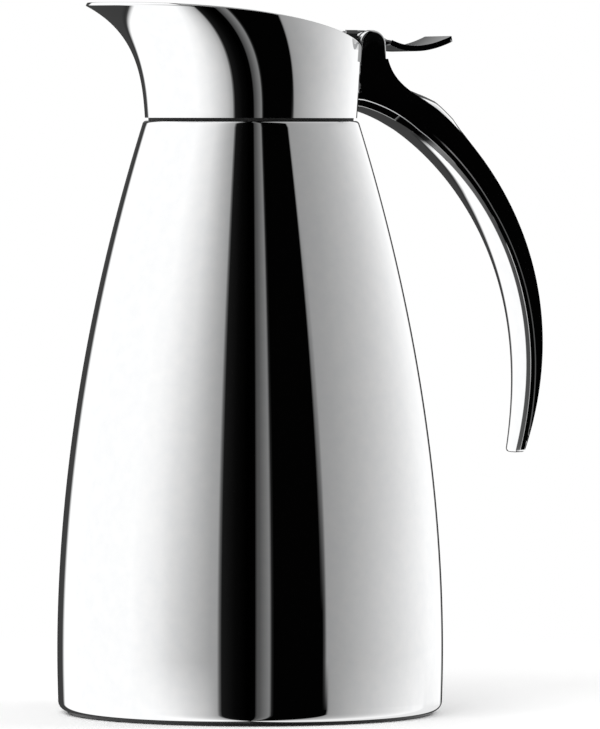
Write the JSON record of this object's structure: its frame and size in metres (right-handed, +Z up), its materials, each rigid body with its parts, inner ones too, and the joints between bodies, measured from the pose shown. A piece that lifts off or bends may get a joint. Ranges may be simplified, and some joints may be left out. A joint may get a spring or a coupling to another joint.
{
  "type": "insulated pouring jug",
  "caption": "Steel vacuum jug with a flared pouring head, a hinged lid worked by a thumb lever, a glass flask inside and an open hook handle.",
  "frame": {"origin": "on the body's axis, in the plane of the surface that the jug stands on", "axes": "+Z up along the body's axis; +X towards the handle, so the spout points to -X; Y completes a right-handed frame"},
  "size_m": [0.1747, 0.1338, 0.2456],
  "materials": {
    "polished_steel": "mirror polished stainless steel",
    "polished_casting": "mirror polished stainless casting",
    "black_plastic": "matt black polypropylene",
    "rubber_pad": "matt black rubber",
    "black_seal": "matt black rubber",
    "silicone": "translucent grey silicone, shown opaque",
    "silvered_glass": "thin glass silvered on the vacuum side",
    "felt_pad": "pressed fibre",
    "foam": "white closed-cell foam",
    "screw_steel": "plain stainless steel"
  },
  "bodies": {
    "jug": {"outer_shell": "polished_steel", "base_ring": "black_plastic", "base_cap": "black_plastic", "foot_pad": "rubber_pad", "flask_cushion": "rubber_pad", "flask_outer": "silvered_glass", "flask_inner": "silvered_glass", "spacer_pads": "felt_pad", "shoulder_gasket": "rubber_pad", "neck_collar": "black_plastic", "mouth_seal": "silicone", "seam_ring": "black_seal", "pour_funnel": "black_plastic", "head_shell": "polished_steel", "head_lining": "black_plastic", "handle": "polished_casting", "handle_screws": "screw_steel", "hinge_pin": "screw_steel", "lid_spring": "screw_steel"},
    "lid": {"thumb_lever": "polished_steel", "lid_cover": "polished_steel", "lid_core": "black_plastic", "lever_screws": "screw_steel", "lid_foam": "foam", "lid_seal": "silicone", "plug_cap": "black_plastic", "plug_screw": "screw_steel"}
  },
  "joints": [
    {"name": "lid_hinge", "type": "hinge", "parent": "jug", "child": "lid", "pos_m": [0.0419, 0, 0.2316], "axis": [0, 1, 0], "range_deg": [0, 28], "stiffness_Nm_per_rad": 0.03, "springref_deg": -40.11, "deforming": ["lid_spring"]}
  ]
}
